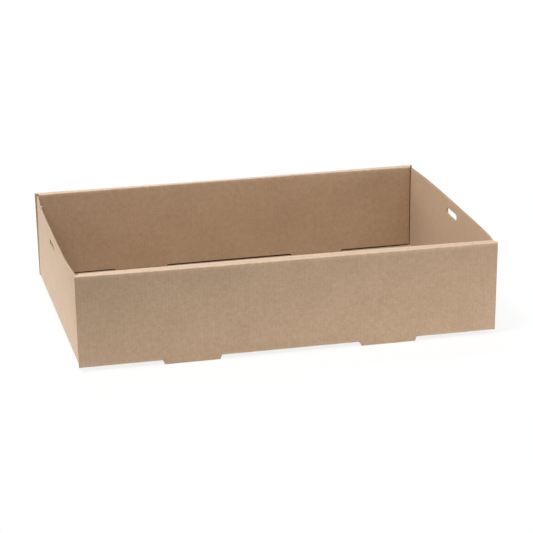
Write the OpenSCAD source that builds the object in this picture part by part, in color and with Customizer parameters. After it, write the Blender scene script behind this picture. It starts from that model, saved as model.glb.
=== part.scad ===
// Open serving tray folded from one die-cut sheet of corrugated board.
// Both long walls are rolled: outer panel, narrow top strip, then an inner panel
// that comes back down and locks through the floor with two tabs.
// The end walls are single board, and their corner flaps are tucked into the rolled walls.

/* [Tray] */
// Length of the long walls, end to end
tray_length = 360; // [300:1:480]
// Width over the outer faces of the long walls
tray_width = 250; // [160:1:360]
// Height of the long walls' outer fold above the underside of the floor
wall_height = 79; // [50:1:120]

/* [Board] */
// Thickness of the corrugated board
board = 1.5; // [1:0.1:2]
// Inside radius of every crease
crease_radius = 0.3; // [0.1:0.1:0.8]

/* [Rolled long walls] */
// Width of the top strip, from the outer face to the inner face of the wall
roll_width = 8; // [7:0.1:14]
// How much higher the strip's inner fold stands than its outer fold
roll_rise = 1.3; // [0:0.1:2]
// Distance by which the inner panel stops short of the outer panel at each end
roll_taper = 4.5; // [3.5:0.1:8]
// Distance by which the inner panel's foot stands back towards the outer panel
inner_toe = 0.3; // [0:0.1:3]
// Gap between the lower edge of the inner panel and the floor
inner_gap = 1.4; // [0.5:0.1:6]
// Clearance between board faces that lie side by side in the rolled wall
tuck_clearance = 0.2; // [0.1:0.05:0.5]

/* [Feet and lock tabs] */
// Distance between the centres of the two feet on a long wall
foot_spacing = 169; // [90:1:200]
// Length of a foot where it leaves the wall
foot_length = 49.6; // [20:0.1:70]
// Distance by which each end of a foot slopes in towards its lower edge
foot_slope = 1.4; // [0:0.1:4]
// Height of the feet, which hold the floor clear of the table
foot_drop = 3.3; // [2:0.1:8]
// Distance from the tips of the lock tabs down to the table
tab_lift = 0.8; // [0.3:0.1:1.5]
// Clearance between a lock tab and the sides of its opening in the floor
tab_clearance = 0.4; // [0.2:0.1:1]

/* [End walls] */
// Distance from the ends of the long walls in to the end walls' outer faces
end_setback = 1.3; // [0.5:0.1:2]
// Distance from the long walls' outer fold down to the end walls' top edge
end_drop = 1.1; // [0.8:0.1:6]
// Outward bulge of an end wall at the middle of its top edge
end_bow = 3.5; // [0:0.1:8]
// Fullness of that bulge: 2 is an even curve, more is flatter in the middle and rounder at the corners
end_fullness = 4; // [2:0.5:6]
// Length of the corner flaps, from the outer face of the end wall
flap_length = 62; // [20:1:100]
// Clearance above and below a tucked flap
flap_gap = 1; // [0.5:0.1:3]
// Size of the cut-off corners at the free end of a flap
flap_chamfer = 8; // [1:0.5:15]

/* [Hand slots] */
// Length of the slot through each end wall
slot_length = 28.5; // [12:0.5:90]
// Height of the slot
slot_height = 6; // [4.5:0.1:12]
// Distance from the end wall's top edge down to the middle of the slot
slot_depth = 11.2; // [8:0.1:25]

/* [Hidden] */
$fn = 48;
kraft = [0.73, 0.6, 0.47];

// Outside radius of every crease
fold_radius = board + crease_radius;
// Height of the strip's inner fold above the underside of the floor
roll_height = wall_height + roll_rise;
// Slope of the top strip
strip_slope = atan(roll_rise / roll_width);
// Depth of a long wall at the floor, with room for outer panel, tucked flap and inner panel
tuck_depth = max(3 * board + 2 * tuck_clearance, roll_width - inner_toe);
// Lean of the inner panel, from the full strip at the top to that depth at the floor
inner_lean = atan((roll_width - tuck_depth) / (roll_height - board));

// Fold angles at the outer and the inner edge of the strip
outer_fold = 90 - strip_slope;
inner_fold = 90 + strip_slope + inner_lean;
// Length that each of these folds takes off the panels beside it
outer_set = fold_radius * tan(outer_fold / 2);
inner_set = fold_radius * tan(inner_fold / 2);
// Flat width of the strip between its folds, and length of the inner panel to the tips of its tabs
strip_run = norm([roll_width, roll_rise]) - outer_set - inner_set;
inner_run = (roll_height + foot_drop - tab_lift) / cos(inner_lean) - inner_set;

// Y of a long wall's outer face, and of the inner face of its strip
wall_face = tray_width / 2;
roll_face = wall_face - roll_width;
// Y of the space between the outer panel and the inner panel at the floor
tuck_face = wall_face - 2 * board;

// Half lengths of the outer panel, of the inner panel and of the flat of the floor
outer_half = tray_length / 2;
inner_half = outer_half - roll_taper;
floor_half_x = outer_half - end_setback - fold_radius;
floor_half_y = wall_face - fold_radius;

// X of the two ends of a foot
foot_ends = [foot_spacing / 2 - foot_length / 2, foot_spacing / 2 + foot_length / 2];
// Openings that the feet leave in the floor, and the tabs go down through
opening_ends = foot_ends + [-tab_clearance, tab_clearance];
opening_depth = max(foot_drop + board, tuck_depth + tab_clearance);

// Half width and height of the flat of an end wall
end_half = wall_face - board - tuck_clearance - fold_radius;
end_run = wall_height - end_drop - fold_radius;
// Heights on the end wall between which a corner flap is joined to it
flap_low = flap_gap;
flap_high = end_run - max(flap_gap, board + flap_gap - end_drop);
flap_run = flap_length - fold_radius;

// Facets around a fold of the roll
fold_steps = 8;
// Panels into which the curve of an end wall is divided, along and up
bow_columns = 24;
bow_rows = 3;
// Length by which a cutter stands out past the faces that it cuts
cut_past = 1;

// Board bent square around a crease that lies along X at y = 0, between two places on X
module crease(from, to) {
    translate([from, 0, fold_radius])
        rotate([0, 90, 0])
            rotate_extrude(angle = 90)
                translate([crease_radius, 0])
                    square([board, to - from]);
}

// Carries flat board that starts at y = 0 around the crease there
module past_crease() {
    translate([0, 0, fold_radius])
        rotate([90, 0, 0])
            translate([0, 0, -fold_radius])
                children();
}

// Repeats something on both sides of the YZ plane
module both_ends() {
    children();
    mirror([1, 0, 0])
        children();
}

// Repeats something on both sides of the XZ plane
module both_sides() {
    children();
    mirror([0, 1, 0])
        children();
}

// Floor between the four bottom creases, open where the feet were cut out of it
module floor_panel() {
    linear_extrude(board)
        difference() {
            square([2 * floor_half_x, 2 * floor_half_y], center = true);
            both_ends()
                both_sides()
                    translate([opening_ends[0], wall_face - opening_depth])
                        square([opening_ends[1] - opening_ends[0], opening_depth]);
        }
}

// Direction at an angle, and the points of an arc between two angles
function turn(angle) = [cos(angle), sin(angle)];
function arc(centre, radius, from, to) =
    [for (i = [0 : fold_steps]) centre + radius * turn(from + (to - from) * i / fold_steps)];

// One face of the rolled board in the YZ plane, from the table up the outer panel,
// over the strip and down to the tip of a lock tab
function rolled_face(radius) =
    let (outer_centre = [wall_face - fold_radius, wall_height - outer_set],
         inner_centre = outer_centre + strip_run * turn(90 + outer_fold),
         inner_facing = outer_fold + inner_fold)
        concat([[outer_centre.x + radius, -foot_drop]],
               arc(outer_centre, radius, 0, outer_fold),
               arc(inner_centre, radius, outer_fold, inner_facing),
               [inner_centre + radius * turn(inner_facing) + inner_run * turn(inner_facing + 90)]);

// Rolled board of a long wall, before its lower edges and its ends are cut
module rolled_board() {
    outside = rolled_face(fold_radius);
    inside = rolled_face(crease_radius);
    last = len(inside) - 1;
    translate([-outer_half, 0, 0])
        rotate([90, 0, 90])
            linear_extrude(2 * outer_half)
                polygon(concat(outside, [for (i = [0 : last]) inside[last - i]]));
}

// Cutter for a panel's lower edge, which leaves a foot or a tab standing at each foot's place
module lower_edge(height, from, to) {
    low = -foot_drop - cut_past;
    spread = foot_slope * low / foot_drop;
    past_end = outer_half + cut_past;
    translate([0, to, 0])
        rotate([90, 0, 0])
            linear_extrude(to - from)
                both_ends() {
                    polygon([[0, height], [foot_ends[0], height], [foot_ends[0], 0],
                             [foot_ends[0] - spread, low], [0, low]]);
                    polygon([[foot_ends[1], 0], [foot_ends[1], height], [past_end, height],
                             [past_end, low], [foot_ends[1] + spread, low]]);
                }
}

// Cutter for the end of the roll: a slanted end on the strip, and a shorter inner panel
module roll_end() {
    past_end = outer_half + cut_past;
    past_face = roll_face - cut_past;
    translate([0, 0, -foot_drop - cut_past])
        linear_extrude(roll_height + foot_drop + 2 * cut_past)
            polygon([[outer_half, floor_half_y], [past_end, floor_half_y], [past_end, past_face],
                     [inner_half, past_face], [inner_half, roll_face + fold_radius]]);
}

// Rolled long wall, with its bottom crease between and beside the feet
module long_wall() {
    difference() {
        rolled_board();
        lower_edge(fold_radius, tuck_face, wall_face + cut_past);
        lower_edge(board + inner_gap, roll_face - cut_past, tuck_face);
        both_ends()
            roll_end();
    }
    both_ends()
        translate([floor_half_x, wall_face - board, 0])
            cube([outer_half - floor_half_x, board, fold_radius]);
    translate([0, floor_half_y, 0]) {
        crease(-opening_ends[0], opening_ends[0]);
        both_ends()
            crease(opening_ends[1], floor_half_x);
    }
}

// Outward bulge of an end wall at a place along and up it
function bulge(along, up) = end_bow * (up / end_run) * (1 - pow(abs(along) / end_half, end_fullness));

// Place on the curved board of an end wall, at a depth in from its outer face
function bowed(column, row, depth) =
    let (along = end_half * (2 * column / bow_columns - 1), up = end_run * row / bow_rows)
        [along, up, depth - bulge(along, up)];

// Curved board of an end wall, straight at its bottom crease and at both flap creases
module bowed_panel() {
    across = bow_rows + 1;
    layer = (bow_columns + 1) * across;
    last_column = bow_columns * across;
    points = [for (depth = [0, board], c = [0 : bow_columns], r = [0 : bow_rows]) bowed(c, r, depth)];
    cells = [for (c = [0 : bow_columns - 1], r = [0 : bow_rows - 1]) c * across + r];
    faces = [
        for (i = cells) each [[i, i + across, i + across + 1], [i, i + across + 1, i + 1]],
        for (i = cells) let (j = i + layer)
            each [[j, j + across + 1, j + across], [j, j + 1, j + across + 1]],
        for (c = [0 : bow_columns - 1]) let (i = c * across, j = i + bow_rows)
            each [[i, i + layer, i + layer + across, i + across],
                  [j, j + across, j + layer + across, j + layer]],
        for (r = [0 : bow_rows - 1]) let (j = last_column + r)
            each [[r, r + 1, r + layer + 1, r + layer], [j, j + layer, j + layer + 1, j + 1]]
    ];
    polyhedron(points, faces);
}

// Round-ended slot cut through an end wall
module hand_slot() {
    straight = slot_length - slot_height;
    translate([0, end_run - slot_depth, -end_bow - cut_past])
        linear_extrude(end_bow + board + 2 * cut_past) {
            square([straight, slot_height], center = true);
            both_ends()
                translate([straight / 2, 0])
                    circle(d = slot_height);
        }
}

// Corner flap at the side of an end wall, folded along to lie inside the rolled wall
module corner_flap() {
    low = -flap_high;
    high = -flap_low;
    tip = flap_run - flap_chamfer;
    crease(low, high);
    past_crease()
        linear_extrude(board)
            polygon([[low, 0], [high, 0], [high, tip], [high - flap_chamfer, flap_run],
                     [low + flap_chamfer, flap_run], [low, tip]]);
}

// End wall with its slot and its two corner flaps, drawn from the bottom crease outwards
module end_wall() {
    crease(-end_half, end_half);
    past_crease() {
        difference() {
            bowed_panel();
            hand_slot();
        }
        both_ends()
            translate([end_half, 0, 0])
                rotate([0, 0, -90])
                    corner_flap();
    }
}

// Whole tray, standing on its four feet
module tray() {
    color(kraft)
        translate([0, 0, foot_drop]) {
            floor_panel();
            both_sides()
                long_wall();
            both_ends()
                translate([floor_half_x, 0, 0])
                    rotate([0, 0, -90])
                        end_wall();
        }
}

tray();
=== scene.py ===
import functools
import math

import bmesh
import bpy
import numpy as np
from mathutils import Matrix, Vector


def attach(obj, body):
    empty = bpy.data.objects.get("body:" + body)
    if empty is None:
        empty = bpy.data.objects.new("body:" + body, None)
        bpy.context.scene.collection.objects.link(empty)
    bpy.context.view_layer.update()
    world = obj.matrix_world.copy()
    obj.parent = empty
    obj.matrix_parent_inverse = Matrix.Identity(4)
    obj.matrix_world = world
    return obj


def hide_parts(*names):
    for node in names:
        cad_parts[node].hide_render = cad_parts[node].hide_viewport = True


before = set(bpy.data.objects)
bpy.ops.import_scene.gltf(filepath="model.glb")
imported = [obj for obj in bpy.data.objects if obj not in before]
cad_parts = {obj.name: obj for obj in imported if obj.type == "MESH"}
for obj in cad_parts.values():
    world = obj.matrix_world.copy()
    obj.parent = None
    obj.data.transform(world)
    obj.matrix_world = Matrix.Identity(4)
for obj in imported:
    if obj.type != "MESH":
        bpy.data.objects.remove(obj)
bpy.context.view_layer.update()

MM = 0.001
TINY = 1e-6

# Sizes of the folded tray, in millimetres, the same as the solid's
TRAY_LENGTH = 360.0
TRAY_WIDTH = 250.0
WALL_HEIGHT = 79.0
BOARD = 1.5
CREASE_RADIUS = 0.3
ROLL_WIDTH = 8.0
ROLL_RISE = 1.3
ROLL_TAPER = 4.5
INNER_TOE = 0.3
INNER_GAP = 1.4
TUCK_CLEARANCE = 0.2
FOOT_SPACING = 169.0
FOOT_LENGTH = 49.6
FOOT_SLOPE = 1.4
FOOT_DROP = 3.3
TAB_LIFT = 0.8
TAB_CLEARANCE = 0.4
END_SETBACK = 1.3
END_DROP = 1.1
END_BOW = 3.5
FLAP_LENGTH = 62.0
FLAP_GAP = 1.0
FLAP_CHAMFER = 8.0
SLOT_LENGTH = 28.5
SLOT_HEIGHT = 6.0
SLOT_DEPTH = 11.2

# Sizes that follow from these
FOLD_RADIUS = BOARD + CREASE_RADIUS
FACE_RADII = (FOLD_RADIUS, CREASE_RADIUS)
MIDDLE_RADIUS = CREASE_RADIUS + BOARD / 2
CREASE_ARC = MIDDLE_RADIUS * math.pi / 2
TUCK_DEPTH = max(3 * BOARD + 2 * TUCK_CLEARANCE, ROLL_WIDTH - INNER_TOE)
WALL_FACE = TRAY_WIDTH / 2
OUTER_HALF = TRAY_LENGTH / 2
FLOOR_HALF_X = OUTER_HALF - END_SETBACK - FOLD_RADIUS
FLOOR_HALF_Y = WALL_FACE - FOLD_RADIUS
FOOT_ENDS = (FOOT_SPACING / 2 - FOOT_LENGTH / 2, FOOT_SPACING / 2 + FOOT_LENGTH / 2)
OPENING_ENDS = (FOOT_ENDS[0] - TAB_CLEARANCE, FOOT_ENDS[1] + TAB_CLEARANCE)
OPENING_EDGE = WALL_FACE - max(FOOT_DROP + BOARD, TUCK_DEPTH + TAB_CLEARANCE)
INNER_EDGE = BOARD + INNER_GAP
TAB_TIP = TAB_LIFT - FOOT_DROP
END_HALF = WALL_FACE - BOARD - TUCK_CLEARANCE - FOLD_RADIUS
END_RUN = WALL_HEIGHT - END_DROP - FOLD_RADIUS
FLAP_LOW = FLAP_GAP
FLAP_HIGH = END_RUN - max(FLAP_GAP, BOARD + FLAP_GAP - END_DROP)
FLAP_RUN = FLAP_LENGTH - FOLD_RADIUS
SLOT_MIDDLE = END_RUN - SLOT_DEPTH

# How this board has settled since it was folded
END_RISE = 0.15  # rise of the strips at their ends, where they lie flatter
END_LIFT = 0.45  # lift of the outer panels' lower edges past the floor's ends
CORNER_PULL = 0.45  # how far the tops of the walls are drawn in at the corners
WALL_WAVE = 0.1  # depth of a slight wave along their tops
WALL_WAVE_LENGTH = 150.0
WALL_SAG = 0.25  # how far the tops sag between the corners
LEFT_LIFT = 0.6  # how much higher they stand at the left end
RIGHT_TWIST = 0.45  # how far they twist at the right end, up at the back and down in front
FRONT_DROP = 0.5  # how much lower the front is than the back
INNER_DROP = 0.2  # how much lower the inner panels hang
INNER_SKEW = 0.6  # how much lower still at their left ends
FLOOR_SAG = 0.8  # how far the floor sags between the feet
SAG_SHAPE = (8, 24)  # how full that sag is along and across the floor

# How fully the end walls bow in their front and back halves
END_FULLNESS = {-1: (4, 4), 1: (8, 3)}

# How much further the ends of the inner and the outer panels reach at the foot and at the top, by
# their side and whether they end at the right, and the length over which the ends are drawn in
INNER_REACH = {
    (-1, False): (-0.95, 0.25),
    (-1, True): (0.6, 2.2),
    (1, False): (0.55, 1.75),
    (1, True): (0.95, 1.1),
}
OUTER_REACH = {
    (-1, False): (-0.5, 0.2),
    (-1, True): (-0.6, 0.6),
    (1, False): (-0.95, 0.25),
    (1, True): (-0.6, 0.6),
}
TAPER_RUN = 8.0
TAPER_START = OUTER_HALF - ROLL_TAPER - TAPER_RUN
TAPER_FACE = WALL_FACE - ROLL_WIDTH + FOLD_RADIUS

# Corrugated board as its cut edges show it: two liners and a wavy medium in the groove between
# them, which is deeper in a cut across the flutes than along them, and shallow where it is punched
LINER = 0.22
MEDIUM = 0.16
FLUTE_PITCH = 3.2
FLUTE_STEP = 0.4
GROOVE_ALONG = 0.6
GROOVE_ACROSS = 0.9
GROOVE_PUNCHED = 0.15
MEDIUM_SET = 0.08

# Outside radius of the roll's creases, where the scored board is crushed
CREASE_OUTSIDE = 0.9

# Rows and columns of the mesh, in millimetres, as steps around a fold or as shares of a panel
COLUMN_STEP = 5.0
ROW_STEP = 6.0
SLOT_STEP = 1.5
CREASE_EDGE = 1.0
PANEL_EDGE = 2.0
FOLD_STEPS = 8
FOLD_SHARES = [step / FOLD_STEPS for step in range(FOLD_STEPS + 1)]
FOLD_ANGLES = [math.pi / 2 * share for share in FOLD_SHARES]
CREASE_ROWS = [FOLD_RADIUS / 2, FOLD_RADIUS]
FOOT_ROWS = [-FOOT_DROP, -FOOT_DROP / 2, 0.0, *CREASE_ROWS]
STRIP_SHARES = [0.0, 0.2, 0.5, 0.8, 1.0]
INNER_EDGES = [0.0, 0.02, 0.98, 1.0]
INNER_STEP = 0.07
TAB_SHARES = [1.0, 1.3, 1.54, 1.8, 2.0]
WELD_DIGITS = 4

# Window in an end wall that a ring of cells around the slot fills
WINDOW_HALF = 18.0
WINDOW_RISE = 6.6
WINDOW_LOW = SLOT_MIDDLE - WINDOW_RISE
WINDOW_HIGH = SLOT_MIDDLE + WINDOW_RISE

# Torn nicks where the blank was held in its sheet: end of the tray and place along the end wall,
# then their reach to both sides, root, height, lean, narrowing and share of the board's thickness
NICKS = ((-1, 82.0), (1, -74.0))
NICK_ENDS = (-1.8, 1.44)
NICK_ROOT = 0.3
NICK_HEIGHT = 0.7
NICK_LEAN = 1.3
NICK_TIP = 0.55
NICK_SKIN = 0.65


def mirrored(places):
    """The places and their opposites, in order."""
    return sorted({*places, *(-p for p in places)})


def spaced(stops, step):
    """The stops, with even places between them that are no further apart than a step."""
    places = [stops[0]]
    for near, far in zip(stops, stops[1:]):
        count = max(1, math.ceil((far - near) / step - TINY))
        places += [near + (far - near) * i / count for i in range(1, count)] + [far]
    return places


def turn(angle):
    """Direction at an angle."""
    return np.array([math.cos(angle), math.sin(angle)])


def unit(vector):
    """The vector at length 1."""
    return vector / max(np.linalg.norm(vector), TINY)


def in_foot(x, ends):
    """Whether a place along a long wall lies between the ends of a foot or of its opening."""
    return ends[0] < abs(x) < ends[1]


def settled(point):
    """Moves a point with the slight warp of the folded tray, and up onto its feet."""
    x, y, z = point
    along = x / OUTER_HALF
    across = y / WALL_FACE
    height = max(0.0, z) / (WALL_HEIGHT + ROLL_RISE)
    wave = 0.5 + 0.5 * math.sin(2 * math.pi * x / WALL_WAVE_LENGTH + math.copysign(1, y))
    pull = height * (CORNER_PULL * along ** 2 + WALL_WAVE * wave)
    lift = LEFT_LIFT * max(0.0, -along) ** 2 + RIGHT_TWIST * max(0.0, along) * across
    lift = height * (lift - WALL_SAG * (1 - along ** 2) - FRONT_DROP * (1 - across) / 2)
    return np.array([x, y * (1 - pull / WALL_FACE), z + lift + FOOT_DROP])


class Sheet:
    """Board as pairs of points, one on each face, and the cells that they bound."""

    def __init__(self):
        self.index = {}
        self.outside = []
        self.inside = []
        self.blank = []
        self.crease = []
        self.cells = []
        self.punched = set()

    def point(self, outside, inside, blank, crease=0.0):
        """Index of a pair of points, which is new only if no pair lies there yet."""
        key = tuple(round(c, WELD_DIGITS) + 0.0 for c in (*outside, *inside))
        if key not in self.index:
            self.index[key] = len(self.outside)
            self.outside.append(settled(outside))
            self.inside.append(settled(inside))
            self.blank.append(blank)
            self.crease.append(crease)
        found = self.index[key]
        self.crease[found] = max(self.crease[found], crease)
        return found

    def patch(self, columns, rows, place, keep=lambda column, row: True, crease=0.0):
        """Adds a grid of cells where keep says so at a cell's middle."""

        @functools.cache
        def corner(column, row):
            return self.point(*place(column, row), crease)

        for left, right in zip(columns, columns[1:]):
            for low, high in zip(rows, rows[1:]):
                if keep((left + right) / 2, (low + high) / 2):
                    self.cells.append([corner(left, low), corner(right, low),
                                       corner(right, high), corner(left, high)])


def bent(centre, start, end, share, radius):
    """Place around a bend of the roll, where the outside of the board is creased more tightly.

    The first and the last step around the outside are straight, up to the crushed crease.
    """
    if radius == FOLD_RADIUS and 0 < share < 1:
        to_crease = (FOLD_RADIUS - CREASE_OUTSIDE) / math.cos((end - start) / 2)
        centre = centre + to_crease * turn((start + end) / 2)
        share = (share * FOLD_STEPS - 1) / (FOLD_STEPS - 2)
        radius = CREASE_OUTSIDE
    return centre + radius * turn(start + share * (end - start))


class Roll:
    """Section of a rolled wall in the YZ plane, by its strip's rise and its inner panel's edge.

    Each part takes a radius, that of the outside, middle or inside of the board around a crease. It
    gives the place there, and the length along the board from the bottom crease.
    """

    def __init__(self, rise, edge):
        self.edge = edge
        self.lean = math.atan2(ROLL_WIDTH - TUCK_DEPTH, WALL_HEIGHT + rise - BOARD)
        self.outer_fold = math.pi / 2 - math.atan2(rise, ROLL_WIDTH)
        self.facing = math.pi + self.lean
        outer_set = FOLD_RADIUS * math.tan(self.outer_fold / 2)
        inner_set = FOLD_RADIUS * math.tan((self.facing - self.outer_fold) / 2)
        self.run = math.hypot(ROLL_WIDTH, rise) - outer_set - inner_set
        self.outer_top = WALL_HEIGHT - outer_set
        self.outer_centre = np.array([WALL_FACE - FOLD_RADIUS, self.outer_top])
        self.inner_centre = self.outer_centre + self.run * turn(math.pi / 2 + self.outer_fold)
        self.outer_end = self.outer_top - FOLD_RADIUS
        self.strip_start = self.outer_end + MIDDLE_RADIUS * self.outer_fold
        self.strip_end = self.strip_start + self.run
        self.inner_start = self.strip_end + MIDDLE_RADIUS * (self.facing - self.outer_fold)

    def outer(self, z, radius):
        """Outer panel, by the height."""
        return np.array([self.outer_centre[0] + radius, z]), z - FOLD_RADIUS

    def outer_bend(self, share, radius):
        """Crease from the outer panel to the strip."""
        along = self.outer_end + share * (self.strip_start - self.outer_end)
        return bent(self.outer_centre, 0.0, self.outer_fold, share, radius), along

    def strip(self, share, radius):
        """Narrow strip along the top."""
        start = self.outer_centre + radius * turn(self.outer_fold)
        run = share * self.run
        return start + run * turn(math.pi / 2 + self.outer_fold), self.strip_start + run

    def inner_bend(self, share, radius):
        """Crease from the strip to the inner panel."""
        along = self.strip_end + share * (self.inner_start - self.strip_end)
        return bent(self.inner_centre, self.outer_fold, self.facing, share, radius), along

    def inner(self, share, radius):
        """Inner panel: share 0 is its fold, 1 its lower edge, 2 the tip of a tab."""
        fold = self.inner_centre + MIDDLE_RADIUS * turn(self.facing)
        edge, tip = ((fold[1] - z) / math.cos(self.lean) for z in (self.edge, TAB_TIP))
        run = share * edge if share < 1 else edge + (share - 1) * (tip - edge)
        face = self.inner_centre + radius * turn(self.facing)
        return face + run * turn(self.facing + math.pi / 2), self.inner_start + run


@functools.cache
def roll_at(x):
    """Section of a rolled wall at a place along it."""
    along = x / OUTER_HALF
    rise = ROLL_RISE + (END_RISE - ROLL_RISE) * along ** 2
    return Roll(rise, INNER_EDGE - INNER_DROP - INNER_SKEW * max(0.0, -along))


def rolled_x(x, y, z, side):
    """Place along the roll, drawn in to the slanted end of the strip and the shorter inner panel."""
    if abs(x) <= TAPER_START:
        return x
    share = min(1.0, max(0.0, (FLOOR_HALF_Y - y) / (FLOOR_HALF_Y - TAPER_FACE)))
    height = z / WALL_HEIGHT
    inner, outer = (foot + height * (top - foot)
                    for foot, top in (INNER_REACH[side, x > 0], OUTER_REACH[side, x > 0]))
    end = OUTER_HALF - share * (ROLL_TAPER - inner)
    drawn = (abs(x) - TAPER_START) * (end - TAPER_START) / (OUTER_HALF - TAPER_START)
    overhang = max(0.0, abs(x) - FLOOR_HALF_X) / (OUTER_HALF - FLOOR_HALF_X)
    return math.copysign(TAPER_START + drawn + (1 - share) * outer * overhang, x)


def foot_x(x, z):
    """Place along a foot or a tab, whose ends slope in below the floor."""
    middle = math.copysign(FOOT_SPACING / 2, x)
    slope = FOOT_SLOPE * max(0.0, -z) / FOOT_DROP
    return middle + (x - middle) * (1 - slope / (FOOT_LENGTH / 2))


# The next functions place the points of the panels and creases by column and row. A place is a point
# on the outside of the board, one on its inside, and their point on the flat blank.


def floor_place(x, y):
    sag_along = 1 - (x / FLOOR_HALF_X) ** SAG_SHAPE[0]
    sag = FLOOR_SAG * sag_along * (1 - (y / FLOOR_HALF_Y) ** SAG_SHAPE[1])
    return (x, y, -sag), (x, y, BOARD - sag), (x, y)


def wall_crease_place(side):
    def place(x, angle):
        faces = [(x, side * (FLOOR_HALF_Y + r * math.sin(angle)), FOLD_RADIUS - r * math.cos(angle))
                 for r in FACE_RADII]
        return *faces, (x, side * (FLOOR_HALF_Y + MIDDLE_RADIUS * angle))

    return place


def wall_place(side, part, foot=False):
    def place(x, row):
        roll = roll_at(x)
        (middle_y, middle_z), along = part(roll, row, MIDDLE_RADIUS)
        across = foot_x(x, middle_z) if foot else rolled_x(x, middle_y, middle_z, side)
        faces = [part(roll, row, radius)[0] for radius in FACE_RADII]
        blank = (across, side * (FLOOR_HALF_Y + CREASE_ARC + along))
        return *((across, side * y, z) for y, z in faces), blank

    return place


def end_crease_place(end):
    def place(y, angle):
        faces = [(end * (FLOOR_HALF_X + r * math.sin(angle)), y, FOLD_RADIUS - r * math.cos(angle))
                 for r in FACE_RADII]
        return *faces, (end * (FLOOR_HALF_X + MIDDLE_RADIUS * angle), y)

    return place


def end_place(end):
    front, back = END_FULLNESS[end]

    def place(y, up):
        bulge = END_BOW * (up / END_RUN) * (1 - abs(y / END_HALF) ** (front if y < 0 else back))
        faces = [(end * (FLOOR_HALF_X + r + bulge), y, FOLD_RADIUS + up) for r in FACE_RADII]
        return *faces, (end * (FLOOR_HALF_X + CREASE_ARC + up), y)

    return place


def flap_crease_place(end, side):
    def place(angle, up):
        faces = [(end * (FLOOR_HALF_X + r * math.cos(angle)), side * (END_HALF + r * math.sin(angle)),
                  FOLD_RADIUS + up) for r in FACE_RADII]
        blank = (end * (FLOOR_HALF_X + CREASE_ARC + up), side * (END_HALF + MIDDLE_RADIUS * angle))
        return *faces, blank

    return place


def flap_place(end, side):
    def place(run, up):
        cut = max(0.0, run - (FLAP_RUN - FLAP_CHAMFER))
        share = (up - FLAP_LOW) / (FLAP_HIGH - FLAP_LOW)
        height = FLAP_LOW + cut + share * (FLAP_HIGH - FLAP_LOW - 2 * cut)
        faces = [(end * (FLOOR_HALF_X - run), side * (END_HALF + r), FOLD_RADIUS + height)
                 for r in FACE_RADII]
        blank = (end * (FLOOR_HALF_X + CREASE_ARC + height), side * (END_HALF + CREASE_ARC + run))
        return *faces, blank

    return place


def slot_outline(y, up):
    """Point of the slot's outline that lies towards a point around it."""
    core_half = (SLOT_LENGTH - SLOT_HEIGHT) / 2
    core = max(-core_half, min(core_half, y))
    away = SLOT_HEIGHT / 2 * unit(np.array([y - core, up - SLOT_MIDDLE]))
    return core + away[0], SLOT_MIDDLE + away[1]


def add_slot(sheet, place, columns, rows):
    """Fills the window left in an end wall with a ring of cells around the slot."""
    ring = [(y, rows[0]) for y in columns[:-1]]
    ring += [(columns[-1], up) for up in rows[:-1]]
    ring += [(y, rows[-1]) for y in reversed(columns[1:])]
    ring += [(columns[0], up) for up in reversed(rows[1:])]
    outer = [sheet.point(*place(*p)) for p in ring]
    inner = [sheet.point(*place(*slot_outline(*p))) for p in ring]
    sheet.punched.update(inner)
    for i in range(len(ring)):
        j = (i + 1) % len(ring)
        sheet.cells.append([outer[i], outer[j], inner[j], inner[i]])


def off_openings(x, y):
    """Whether a place on the floor lies off the openings for the tabs."""
    return not (in_foot(x, OPENING_ENDS) and abs(y) > OPENING_EDGE)


def off_slot(y, up):
    """Whether a place on an end wall lies off the window around its slot."""
    return abs(y) > WINDOW_HALF or not WINDOW_LOW < up < WINDOW_HIGH


def fold_wall(sheet, side, columns, floor_columns):
    """A long wall: crease, outer panel with its feet, strip, and inner panel with its tabs."""
    sheet.patch(floor_columns, FOLD_ANGLES, wall_crease_place(side),
                lambda x, angle: not in_foot(x, OPENING_ENDS), crease=1.0)
    outer_place = wall_place(side, Roll.outer)
    sheet.patch(columns, [END_LIFT, *CREASE_ROWS], outer_place, lambda x, z: abs(x) > FLOOR_HALF_X)
    sheet.patch(columns, FOOT_ROWS, wall_place(side, Roll.outer, foot=True),
                lambda x, z: in_foot(x, FOOT_ENDS))

    middle_top = roll_at(0.0).outer_top
    rows = spaced([FOLD_RADIUS, FOLD_RADIUS + CREASE_EDGE, middle_top - PANEL_EDGE, middle_top], ROW_STEP)

    def panel_place(x, z):
        share = (z - FOLD_RADIUS) / (middle_top - FOLD_RADIUS)
        return outer_place(x, FOLD_RADIUS + share * (roll_at(x).outer_top - FOLD_RADIUS))

    sheet.patch(columns, rows, panel_place)
    sheet.patch(columns, FOLD_SHARES, wall_place(side, Roll.outer_bend), crease=1.0)
    sheet.patch(columns, STRIP_SHARES, wall_place(side, Roll.strip))
    sheet.patch(columns, FOLD_SHARES, wall_place(side, Roll.inner_bend), crease=1.0)
    sheet.patch(columns, spaced(INNER_EDGES, INNER_STEP), wall_place(side, Roll.inner))
    sheet.patch(columns, TAB_SHARES, wall_place(side, Roll.inner, foot=True),
                lambda x, share: in_foot(x, FOOT_ENDS))


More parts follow.
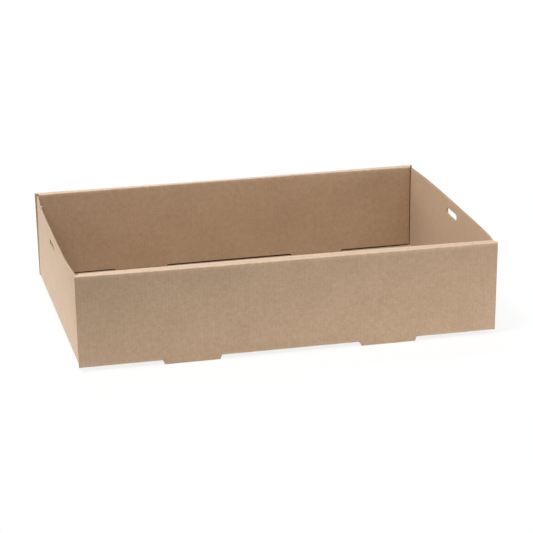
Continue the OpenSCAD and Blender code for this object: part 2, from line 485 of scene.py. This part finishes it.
def fold_end(sheet, end, columns):
    """An end wall: crease, panel with its slot, and the two corner flaps."""
    rows = spaced([0.0, FLAP_LOW, WINDOW_LOW], ROW_STEP)
    rows += spaced([WINDOW_LOW, WINDOW_HIGH], SLOT_STEP)[1:]
    rows += spaced([WINDOW_HIGH, FLAP_HIGH, END_RUN], ROW_STEP)[1:]
    sheet.patch(columns, FOLD_ANGLES, end_crease_place(end), crease=1.0)
    sheet.patch(columns, rows, end_place(end), off_slot)
    slot_columns = [y for y in columns if abs(y) <= WINDOW_HALF]
    slot_rows = [up for up in rows if WINDOW_LOW <= up <= WINDOW_HIGH]
    add_slot(sheet, end_place(end), slot_columns, slot_rows)
    flap_columns = spaced([0.0, CREASE_EDGE, FLAP_RUN - FLAP_CHAMFER, FLAP_RUN], ROW_STEP)
    flap_rows = [up for up in rows if FLAP_LOW <= up <= FLAP_HIGH]
    for side in (-1, 1):
        sheet.patch(FOLD_ANGLES, flap_rows, flap_crease_place(end, side), crease=1.0)
        sheet.patch(flap_columns, flap_rows, flap_place(end, side))


def fold_tray():
    """The whole sheet, folded."""
    sheet = Sheet()
    stops = [0.0, OPENING_ENDS[0], *FOOT_ENDS, OPENING_ENDS[1], FLOOR_HALF_X, OUTER_HALF]
    wall_columns = mirrored(spaced(stops, COLUMN_STEP))
    floor_columns = [x for x in wall_columns if abs(x) <= FLOOR_HALF_X]
    slot_half = spaced([0.0, WINDOW_HALF], SLOT_STEP)
    end_half = spaced([WINDOW_HALF, OPENING_EDGE, END_HALF - CREASE_EDGE, END_HALF], ROW_STEP)
    end_columns = mirrored(slot_half + end_half)
    sheet.patch(floor_columns, [-FLOOR_HALF_Y, *end_columns, FLOOR_HALF_Y], floor_place, off_openings)
    for side in (-1, 1):
        fold_wall(sheet, side, wall_columns, floor_columns)
    for end in (-1, 1):
        fold_end(sheet, end, end_columns)
    return sheet


class BoardMesh:
    """Vertices, faces and attributes of the tray, gathered from the sheet."""

    def __init__(self):
        self.vertices = []
        self.faces = []
        self.blank = []
        self.crease = []
        self.cut = []

    def add(self, place, blank, crease, cut):
        """Index of a new vertex."""
        self.vertices.append(tuple(c * MM for c in place))
        self.blank.append(blank)
        self.crease.append(crease)
        self.cut.append(cut)
        return len(self.vertices) - 1


# Third coordinate of the blank for the board's inside, away from that of its outside
INSIDE_LAYER = 60.0


def build_board(sheet):
    """Both faces of the board, and its cut edges with liners, grooves and wavy medium."""
    mesh = BoardMesh()
    count = len(sheet.outside)
    for layer, points in ((0.0, sheet.outside), (INSIDE_LAYER, sheet.inside)):
        for i in range(count):
            mesh.add(points[i], (*sheet.blank[i], layer), sheet.crease[i], 0.0)
    edges = {}
    middles = [(a + b) / 2 for a, b in zip(sheet.outside, sheet.inside)]
    for cell in sheet.cells:
        mesh.faces.append(cell)
        mesh.faces.append([i + count for i in reversed(cell)])
        centre = sum(middles[i] for i in cell) / len(cell)
        for a, b in zip(cell, cell[1:] + cell[:1]):
            edges.setdefault((min(a, b), max(a, b)), []).append((a, b, centre))
    cuts = [found[0] for found in edges.values() if len(found) == 1]
    add_cut_edges(mesh, sheet, middles, cuts)
    return mesh


def add_cut_edges(mesh, sheet, middles, cuts):
    """Liners and the groove between them along each cut, mitred where two cuts meet."""
    count = len(middles)
    inwards, grooves, across_cuts = {}, {}, []
    for a, b, centre in cuts:
        along = unit(middles[b] - middles[a])
        inward = centre - (middles[a] + middles[b]) / 2
        inward = unit(inward - along * inward.dot(along))
        du, dv = (abs(sheet.blank[b][k] - sheet.blank[a][k]) for k in (0, 1))
        groove = GROOVE_ACROSS if du > dv else GROOVE_ALONG
        if a in sheet.punched:
            groove = GROOVE_PUNCHED
        elif du > dv:
            across_cuts.append((a, b))
        for i in (a, b):
            inwards.setdefault(i, []).append(inward)
            grooves.setdefault(i, []).append(groove)
    ring = {}
    for i, found in inwards.items():
        total = sum(found)
        mitre = 2 / max(total.dot(total), 1.0) if len(found) > 1 else 1.0
        inwards[i] = total * mitre
        inset = inwards[i] * sum(grooves[i]) / len(grooves[i])
        through = sheet.inside[i] - sheet.outside[i]
        skins = [sheet.outside[i] + through * share for share in (LINER / BOARD, 1 - LINER / BOARD)]
        places = [skins[0], skins[0] + inset, skins[1] + inset, skins[1]]
        blank = (*sheet.blank[i], INSIDE_LAYER / 2)
        ring[i] = [i, *(mesh.add(p, blank, sheet.crease[i], 1.0) for p in places), i + count]
    for a, b, _ in cuts:
        for k in range(len(ring[a]) - 1):
            mesh.faces.append([ring[b][k], ring[a][k], ring[a][k + 1], ring[b][k + 1]])
    add_medium(mesh, sheet, middles, inwards, across_cuts)


def add_medium(mesh, sheet, middles, inwards, cuts):
    """Wavy medium between the liners, along the edges that are cut across the flutes."""
    swing = 0.5 - (LINER + MEDIUM / 2) / BOARD
    ends = {}

    def section(place, u, v, through, inward):
        wave = math.sin(2 * math.pi * u / FLUTE_PITCH)
        middle = place + through * swing * wave
        half = unit(through) * MEDIUM / 2
        near, far = inward * MEDIUM_SET, inward * (GROOVE_ACROSS + MEDIUM_SET)
        corners = [middle + half + near, middle - half + near, middle - half + far, middle + half + far]
        return [mesh.add(c, (u, v, INSIDE_LAYER / 2), 0.0, 1.0) for c in corners]

    def end_section(i):
        if i not in ends:
            through = sheet.inside[i] - sheet.outside[i]
            ends[i] = [section(middles[i], *sheet.blank[i], through, inwards[i]), 0]
        ends[i][1] += 1
        return ends[i][0]

    for a, b in cuts:
        (ua, va), (ub, vb) = sheet.blank[a], sheet.blank[b]
        count = max(1, math.ceil(abs(ub - ua) / FLUTE_STEP))
        sections = [end_section(a)]
        through_a, through_b = (sheet.inside[i] - sheet.outside[i] for i in (a, b))
        for k in range(1, count):
            s = k / count
            sections.append(section(middles[a] * (1 - s) + middles[b] * s, ua + (ub - ua) * s,
                                    va + (vb - va) * s, through_a * (1 - s) + through_b * s,
                                    inwards[a] * (1 - s) + inwards[b] * s))
        sections.append(end_section(b))
        for near, far in zip(sections, sections[1:]):
            for k in range(len(near)):
                mesh.faces.append([near[k - 1], near[k], far[k], far[k - 1]])
    for corners, uses in ends.values():
        if uses == 1:
            mesh.faces.append(corners)


def add_nicks(mesh):
    """Small torn tags that stand on the top edges of the end walls and lean inwards."""
    for end, spot in NICKS:
        place = end_place(end)
        feet = []
        for reach in NICK_ENDS:
            outside, inside, blank = place(spot + reach, END_RUN)
            feet.append((settled(outside), settled(inside), blank))
        middle = (feet[0][0][1] + feet[1][0][1]) / 2
        corners = []
        for lift, lean, share in ((-NICK_ROOT, 0.0, 1.0), (NICK_HEIGHT, NICK_LEAN, NICK_TIP)):
            for outside, inside, blank in feet:
                for x, y, z in (inside + (outside - inside) * NICK_SKIN, inside):
                    point = (x - end * lean, middle + (y - middle) * share, z + lift)
                    corners.append(mesh.add(point, (*blank, INSIDE_LAYER / 2), 0.0, 1.0))
        a, b, c, d, e, f, g, h = corners
        mesh.faces += [[a, b, d, c], [e, f, h, g], [a, b, f, e], [c, d, h, g], [a, c, g, e], [b, d, h, f]]


SHARP_ANGLE = 38


def make_tray():
    """The tray's mesh object, with its attributes."""
    board = build_board(fold_tray())
    add_nicks(board)
    mesh = bpy.data.meshes.new("tray_board")
    mesh.from_pydata(board.vertices, [], board.faces)
    work = bmesh.new()
    work.from_mesh(mesh)
    bmesh.ops.recalc_face_normals(work, faces=work.faces)
    work.to_mesh(mesh)
    work.free()
    blank = mesh.attributes.new("blank", "FLOAT_VECTOR", "POINT")
    blank.data.foreach_set("vector", np.array(board.blank, np.float32).ravel())
    for name, values in (("crease", board.crease), ("cut", board.cut)):
        attribute = mesh.attributes.new(name, "FLOAT", "POINT")
        attribute.data.foreach_set("value", np.array(values, np.float32))
    mesh.shade_smooth()
    mesh.set_sharp_from_angle(angle=math.radians(SHARP_ANGLE))
    tray = bpy.data.objects.new("tray_board", mesh)
    bpy.context.scene.collection.objects.link(tray)
    return tray


class Nodes:
    """Short forms for the nodes of one tree."""

    def __init__(self, tree):
        self.tree = tree
        tree.nodes.clear()

    def add(self, kind, inputs=None, **settings):
        node = self.tree.nodes.new(kind)
        for name, value in settings.items():
            setattr(node, name, value)
        for name, value in (inputs or {}).items():
            if isinstance(value, bpy.types.NodeSocket):
                self.tree.links.new(value, node.inputs[name])
            else:
                node.inputs[name].default_value = value
        return node

    def output(self, kind, shader):
        """Adds the tree's output node, fed by a shader node."""
        self.add(kind, {"Surface": shader.outputs[0]})

    def attribute(self, name):
        return self.add("ShaderNodeAttribute", attribute_name=name, attribute_type="GEOMETRY")

    def math(self, operation, a, b=0.0):
        return self.add("ShaderNodeMath", {0: a, 1: b}, operation=operation).outputs[0]

    def stretched(self, vector, scale):
        node = self.add("ShaderNodeVectorMath", {0: vector, 1: scale}, operation="MULTIPLY")
        return node.outputs[0]

    def noise(self, vector, scale, detail, roughness):
        inputs = {"Vector": self.stretched(vector, scale), "Scale": 1.0, "Detail": detail,
                  "Roughness": roughness}
        return self.add("ShaderNodeTexNoise", inputs).outputs[0]

    def ranged(self, value, span, to_span=(0.0, 1.0)):
        """The value, carried from one span to another and held within it."""
        inputs = {0: value, 1: span[0], 2: span[1], 3: to_span[0], 4: to_span[1]}
        return self.add("ShaderNodeMapRange", inputs).outputs[0]

    def weighted(self, patterns, shares):
        """Sum of the patterns, each times its share."""
        total = 0.0
        for name, share in shares.items():
            inputs = {0: patterns[name], 1: share, 2: total}
            total = self.add("ShaderNodeMath", inputs, operation="MULTIPLY_ADD").outputs[0]
        return total

    def mixed(self, share, a, b):
        node = self.add("ShaderNodeMix", {0: share, 6: a, 7: b}, data_type="RGBA")
        return node.outputs[2]


KRAFT_LIGHT = (0.550, 0.413, 0.296, 1.0)
KRAFT_DARK = (0.403, 0.288, 0.195, 1.0)
FLECK_DARK = (0.299, 0.190, 0.107, 1.0)
FLECK_LIGHT = (0.641, 0.524, 0.405, 1.0)
CREASE_WORN = (0.619, 0.479, 0.357, 1.0)
CUT_PAPER = (0.418, 0.303, 0.212, 1.0)

# Noises of the paper: scale for each millimetre of the blank along the tray, across it and from
# face to face, detail, roughness
PAPER_NOISES = {
    "cloud": ((0.03, 0.03, 0.03), 4.0, 0.6),
    "mottle": ((0.2, 0.2, 0.2), 5.0, 0.68),
    "fibre_along": ((0.55, 3.4, 1.0), 3.0, 0.6),
    "fibre_across": ((2.8, 0.7, 1.0), 3.0, 0.6),
    "grain_along": ((0.28, 0.75, 1.0), 2.0, 0.7),
    "grain_across": ((0.75, 0.28, 1.0), 2.0, 0.7),
    "pale_fibre": ((1.9, 5.2, 1.0), 2.0, 0.5),
}

# Shares of the patterns in the tone, the span of that sum from dark to light, and their height in
# the relief in millimetres
TONE_SHARES = {
    "cloud": 0.6,
    "mottle": 0.95,
    "fibre_along": 0.5,
    "fibre_across": 0.4,
    "grain_along": 0.9,
    "grain_across": 0.9,
    "flute": 0.04,
}
TONE_SPAN = (1.62, 2.62)
RELIEF = {"fibre_along": 0.025, "fibre_across": 0.02, "mottle": 0.03, "flute": 0.012}
RELIEF_STRENGTH = 0.55

# Dark flecks and pale fibres: scale or span of their noise, size, and how strongly they show
FLECK_SCALE = (0.42, 0.6, 0.5)
FLECK_SPAN = (0.6, 1.0)
FLECK_SIZES = (0.02, 0.13)
FLECK_STRENGTH = 0.35
PALE_SPAN = (0.66, 0.78)
PALE_STRENGTH = 0.3

# Wear of the creases, which follows the mottle, how strongly the paper of the cuts shows, roughness,
# which follows the mottle too, and gloss
WEAR_SPAN = (0.35, 0.7)
WEAR_STRENGTHS = (0.15, 0.6)
CUT_STRENGTH = 0.7
ROUGH_SPAN = (0.3, 0.7)
ROUGHNESSES = (0.5, 0.66)
SPECULAR = 0.12
SHEEN = 0.07
SHEEN_ROUGHNESS = 0.5


def kraft_board():
    """Kraft liner: cloudy, fibrous, flecked, with the flutes faintly showing through."""
    material = bpy.data.materials.new("kraft_board")
    material.use_nodes = True
    n = Nodes(material.node_tree)
    place = n.attribute("blank").outputs["Vector"]
    crease = n.attribute("crease").outputs["Fac"]
    cut = n.attribute("cut").outputs["Fac"]

    patterns = {name: n.noise(place, *values) for name, values in PAPER_NOISES.items()}
    along = n.add("ShaderNodeSeparateXYZ", {0: place}).outputs[0]
    patterns["flute"] = n.math("SINE", n.math("MULTIPLY", along, 2 * math.pi / FLUTE_PITCH))
    tone = n.ranged(n.weighted(patterns, TONE_SHARES), TONE_SPAN)
    colour = n.mixed(tone, KRAFT_DARK, KRAFT_LIGHT)

    flecks = n.add("ShaderNodeTexVoronoi", {"Vector": n.stretched(place, FLECK_SCALE), "Scale": 1.0})
    chance = n.add("ShaderNodeSeparateColor", {0: flecks.outputs["Color"]}).outputs[0]
    fleck = n.math("LESS_THAN", flecks.outputs["Distance"], n.ranged(chance, FLECK_SPAN, FLECK_SIZES))
    colour = n.mixed(n.math("MULTIPLY", fleck, FLECK_STRENGTH), colour, FLECK_DARK)
    pale = n.ranged(patterns["pale_fibre"], PALE_SPAN)
    colour = n.mixed(n.math("MULTIPLY", pale, PALE_STRENGTH), colour, FLECK_LIGHT)

    wear = n.math("MULTIPLY", crease, n.ranged(patterns["mottle"], WEAR_SPAN, WEAR_STRENGTHS))
    colour = n.mixed(wear, colour, CREASE_WORN)
    colour = n.mixed(n.math("MULTIPLY", cut, CUT_STRENGTH), colour, CUT_PAPER)

    relief = n.weighted(patterns, RELIEF)
    bump = n.add("ShaderNodeBump", {"Strength": RELIEF_STRENGTH, "Distance": MM, "Height": relief})
    shader = n.add("ShaderNodeBsdfPrincipled", {
        "Base Color": colour,
        "Roughness": n.ranged(patterns["mottle"], ROUGH_SPAN, ROUGHNESSES),
        "Specular IOR Level": SPECULAR,
        "Sheen Weight": SHEEN,
        "Sheen Roughness": SHEEN_ROUGHNESS,
        "Normal": bump.outputs[0],
    })
    n.output("ShaderNodeOutputMaterial", shader)
    return material


# Floor: half its side and its gap below the feet in metres, the span of its distance from the
# middle over which it fades out and the scale of that distance, its grey, and how much it glows
FLOOR_HALF = 0.8
FLOOR_GAP = 0.0001
FLOOR_FADE = (0.2, 0.42)
FLOOR_SCALE = (0.8, 1.0, 0.0)
FLOOR_GREY = (0.88, 0.88, 0.88, 1.0)
FLOOR_GLOW = 0.85
WHITE = (1.0, 1.0, 1.0, 1.0)


def seen_directly(n):
    """1 for rays that show the background itself: camera, glossy and transmission rays."""
    path = n.add("ShaderNodeLightPath")
    shown = n.math("MAXIMUM", path.outputs["Is Camera Ray"], path.outputs["Is Glossy Ray"])
    return n.math("MAXIMUM", shown, path.outputs["Is Transmission Ray"])


def white_floor():
    """White paper that keeps a faint shadow and fades out into the world around it."""
    material = bpy.data.materials.new("white_floor")
    material.use_nodes = True
    n = Nodes(material.node_tree)
    paper = n.add("ShaderNodeBsdfDiffuse", {"Color": FLOOR_GREY})
    glow = n.add("ShaderNodeEmission", {"Color": WHITE, "Strength": 1.0})
    share = n.math("MULTIPLY", seen_directly(n), FLOOR_GLOW)
    mix = n.add("ShaderNodeMixShader", {0: share, 1: paper.outputs[0], 2: glow.outputs[0]})
    place = n.add("ShaderNodeNewGeometry").outputs["Position"]
    away = n.add("ShaderNodeVectorMath", {0: n.stretched(place, FLOOR_SCALE)}, operation="LENGTH")
    fade = n.ranged(away.outputs["Value"], FLOOR_FADE)
    clear = n.add("ShaderNodeBsdfTransparent")
    mix = n.add("ShaderNodeMixShader", {0: fade, 1: mix.outputs[0], 2: clear.outputs[0]})
    n.output("ShaderNodeOutputMaterial", mix)
    return material


def make_stage():
    """Floor, and a world that is white to look at and in reflections, and gives no other light."""
    mesh = bpy.data.meshes.new("floor")
    square = ((-1, -1), (1, -1), (1, 1), (-1, 1))
    corners = [(x * FLOOR_HALF, y * FLOOR_HALF, -FLOOR_GAP) for x, y in square]
    mesh.from_pydata(corners, [], [(0, 1, 2, 3)])
    mesh.materials.append(white_floor())
    floor = bpy.data.objects.new("floor", mesh)
    bpy.context.scene.collection.objects.link(floor)

    world = bpy.data.worlds.new("studio")
    bpy.context.scene.world = world
    world.use_nodes = True
    n = Nodes(world.node_tree)
    white = n.add("ShaderNodeBackground", {"Color": WHITE, "Strength": seen_directly(n)})
    n.output("ShaderNodeOutputWorld", white)


# Soft lamps that face the tray: place in metres, side of the square, power in watts, colour
TRAY_MIDDLE = Vector((0.0, 0.0, 0.04))
LAMPS = {
    "left": ((-1.75, -0.55, 1.4), 1.6, 8.6, (1.0, 0.935, 0.85)),
    "left_low": ((-1.5, 0.05, 0.12), 0.25, 8.0, (1.0, 0.935, 0.835)),
    "left_high": ((-0.9, -0.3, 2.0), 0.8, 29.0, (1.0, 1.0, 0.985)),
    "right_low": ((0.6, -0.6, 0.07), 0.25, 2.1, (1.0, 0.92, 0.855)),
    "right_high": ((1.1, -0.4, 1.5), 1.0, 6.7, (1.0, 0.99, 1.0)),
    "front": ((0.25, -1.45, 1.85), 1.5, 15.1, (1.0, 0.93, 0.83)),
    "back": ((0.0, 1.3, 1.6), 1.2, 30.5, (0.97, 0.98, 1.04)),
}


def make_lamps():
    for name, (place, size, power, colour) in LAMPS.items():
        lamp = bpy.data.lights.new(name, "AREA")
        lamp.shape = "SQUARE"
        lamp.size = size
        lamp.energy = power
        lamp.color = colour
        holder = bpy.data.objects.new(name, lamp)
        holder.location = place
        holder.rotation_euler = (TRAY_MIDDLE - Vector(place)).to_track_quat("-Z", "Y").to_euler()
        bpy.context.scene.collection.objects.link(holder)


# Camera of the photograph: direction and roll in degrees, the point at the middle of the frame and
# the distance from it in metres, and the lens in millimetres
VIEW_AZIMUTH = -13.108
VIEW_ELEVATION = 18.355
VIEW_ROLL = -0.672
VIEW_POINT = Vector((0.01013, 0.00761, 0.03258))
VIEW_DISTANCE = 1.8916
VIEW_LENS = 143.06


def make_camera():
    azimuth, elevation, roll = (math.radians(a) for a in (VIEW_AZIMUTH, VIEW_ELEVATION, VIEW_ROLL))
    back = Vector((math.sin(azimuth) * math.cos(elevation), -math.cos(azimuth) * math.cos(elevation),
                   math.sin(elevation)))
    level = Vector((0, 0, 1)).cross(back).normalized()
    rise = back.cross(level)
    right = math.cos(roll) * level + math.sin(roll) * rise
    up = math.cos(roll) * rise - math.sin(roll) * level
    lens = bpy.data.cameras.new("camera")
    lens.lens = VIEW_LENS
    lens.sensor_fit = "HORIZONTAL"
    camera = bpy.data.objects.new("camera", lens)
    camera.matrix_world = Matrix.Translation(VIEW_POINT + VIEW_DISTANCE * back) @ Matrix(
        (right, up, back)).transposed().to_4x4()
    bpy.context.scene.collection.objects.link(camera)
    bpy.context.scene.camera = camera


tray = make_tray()
tray.data.materials.append(kraft_board())
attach(tray, "root")
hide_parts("tray")
make_stage()
make_lamps()
make_camera()
bpy.context.scene.view_settings.view_transform = "Standard"
bpy.context.view_layer.update()
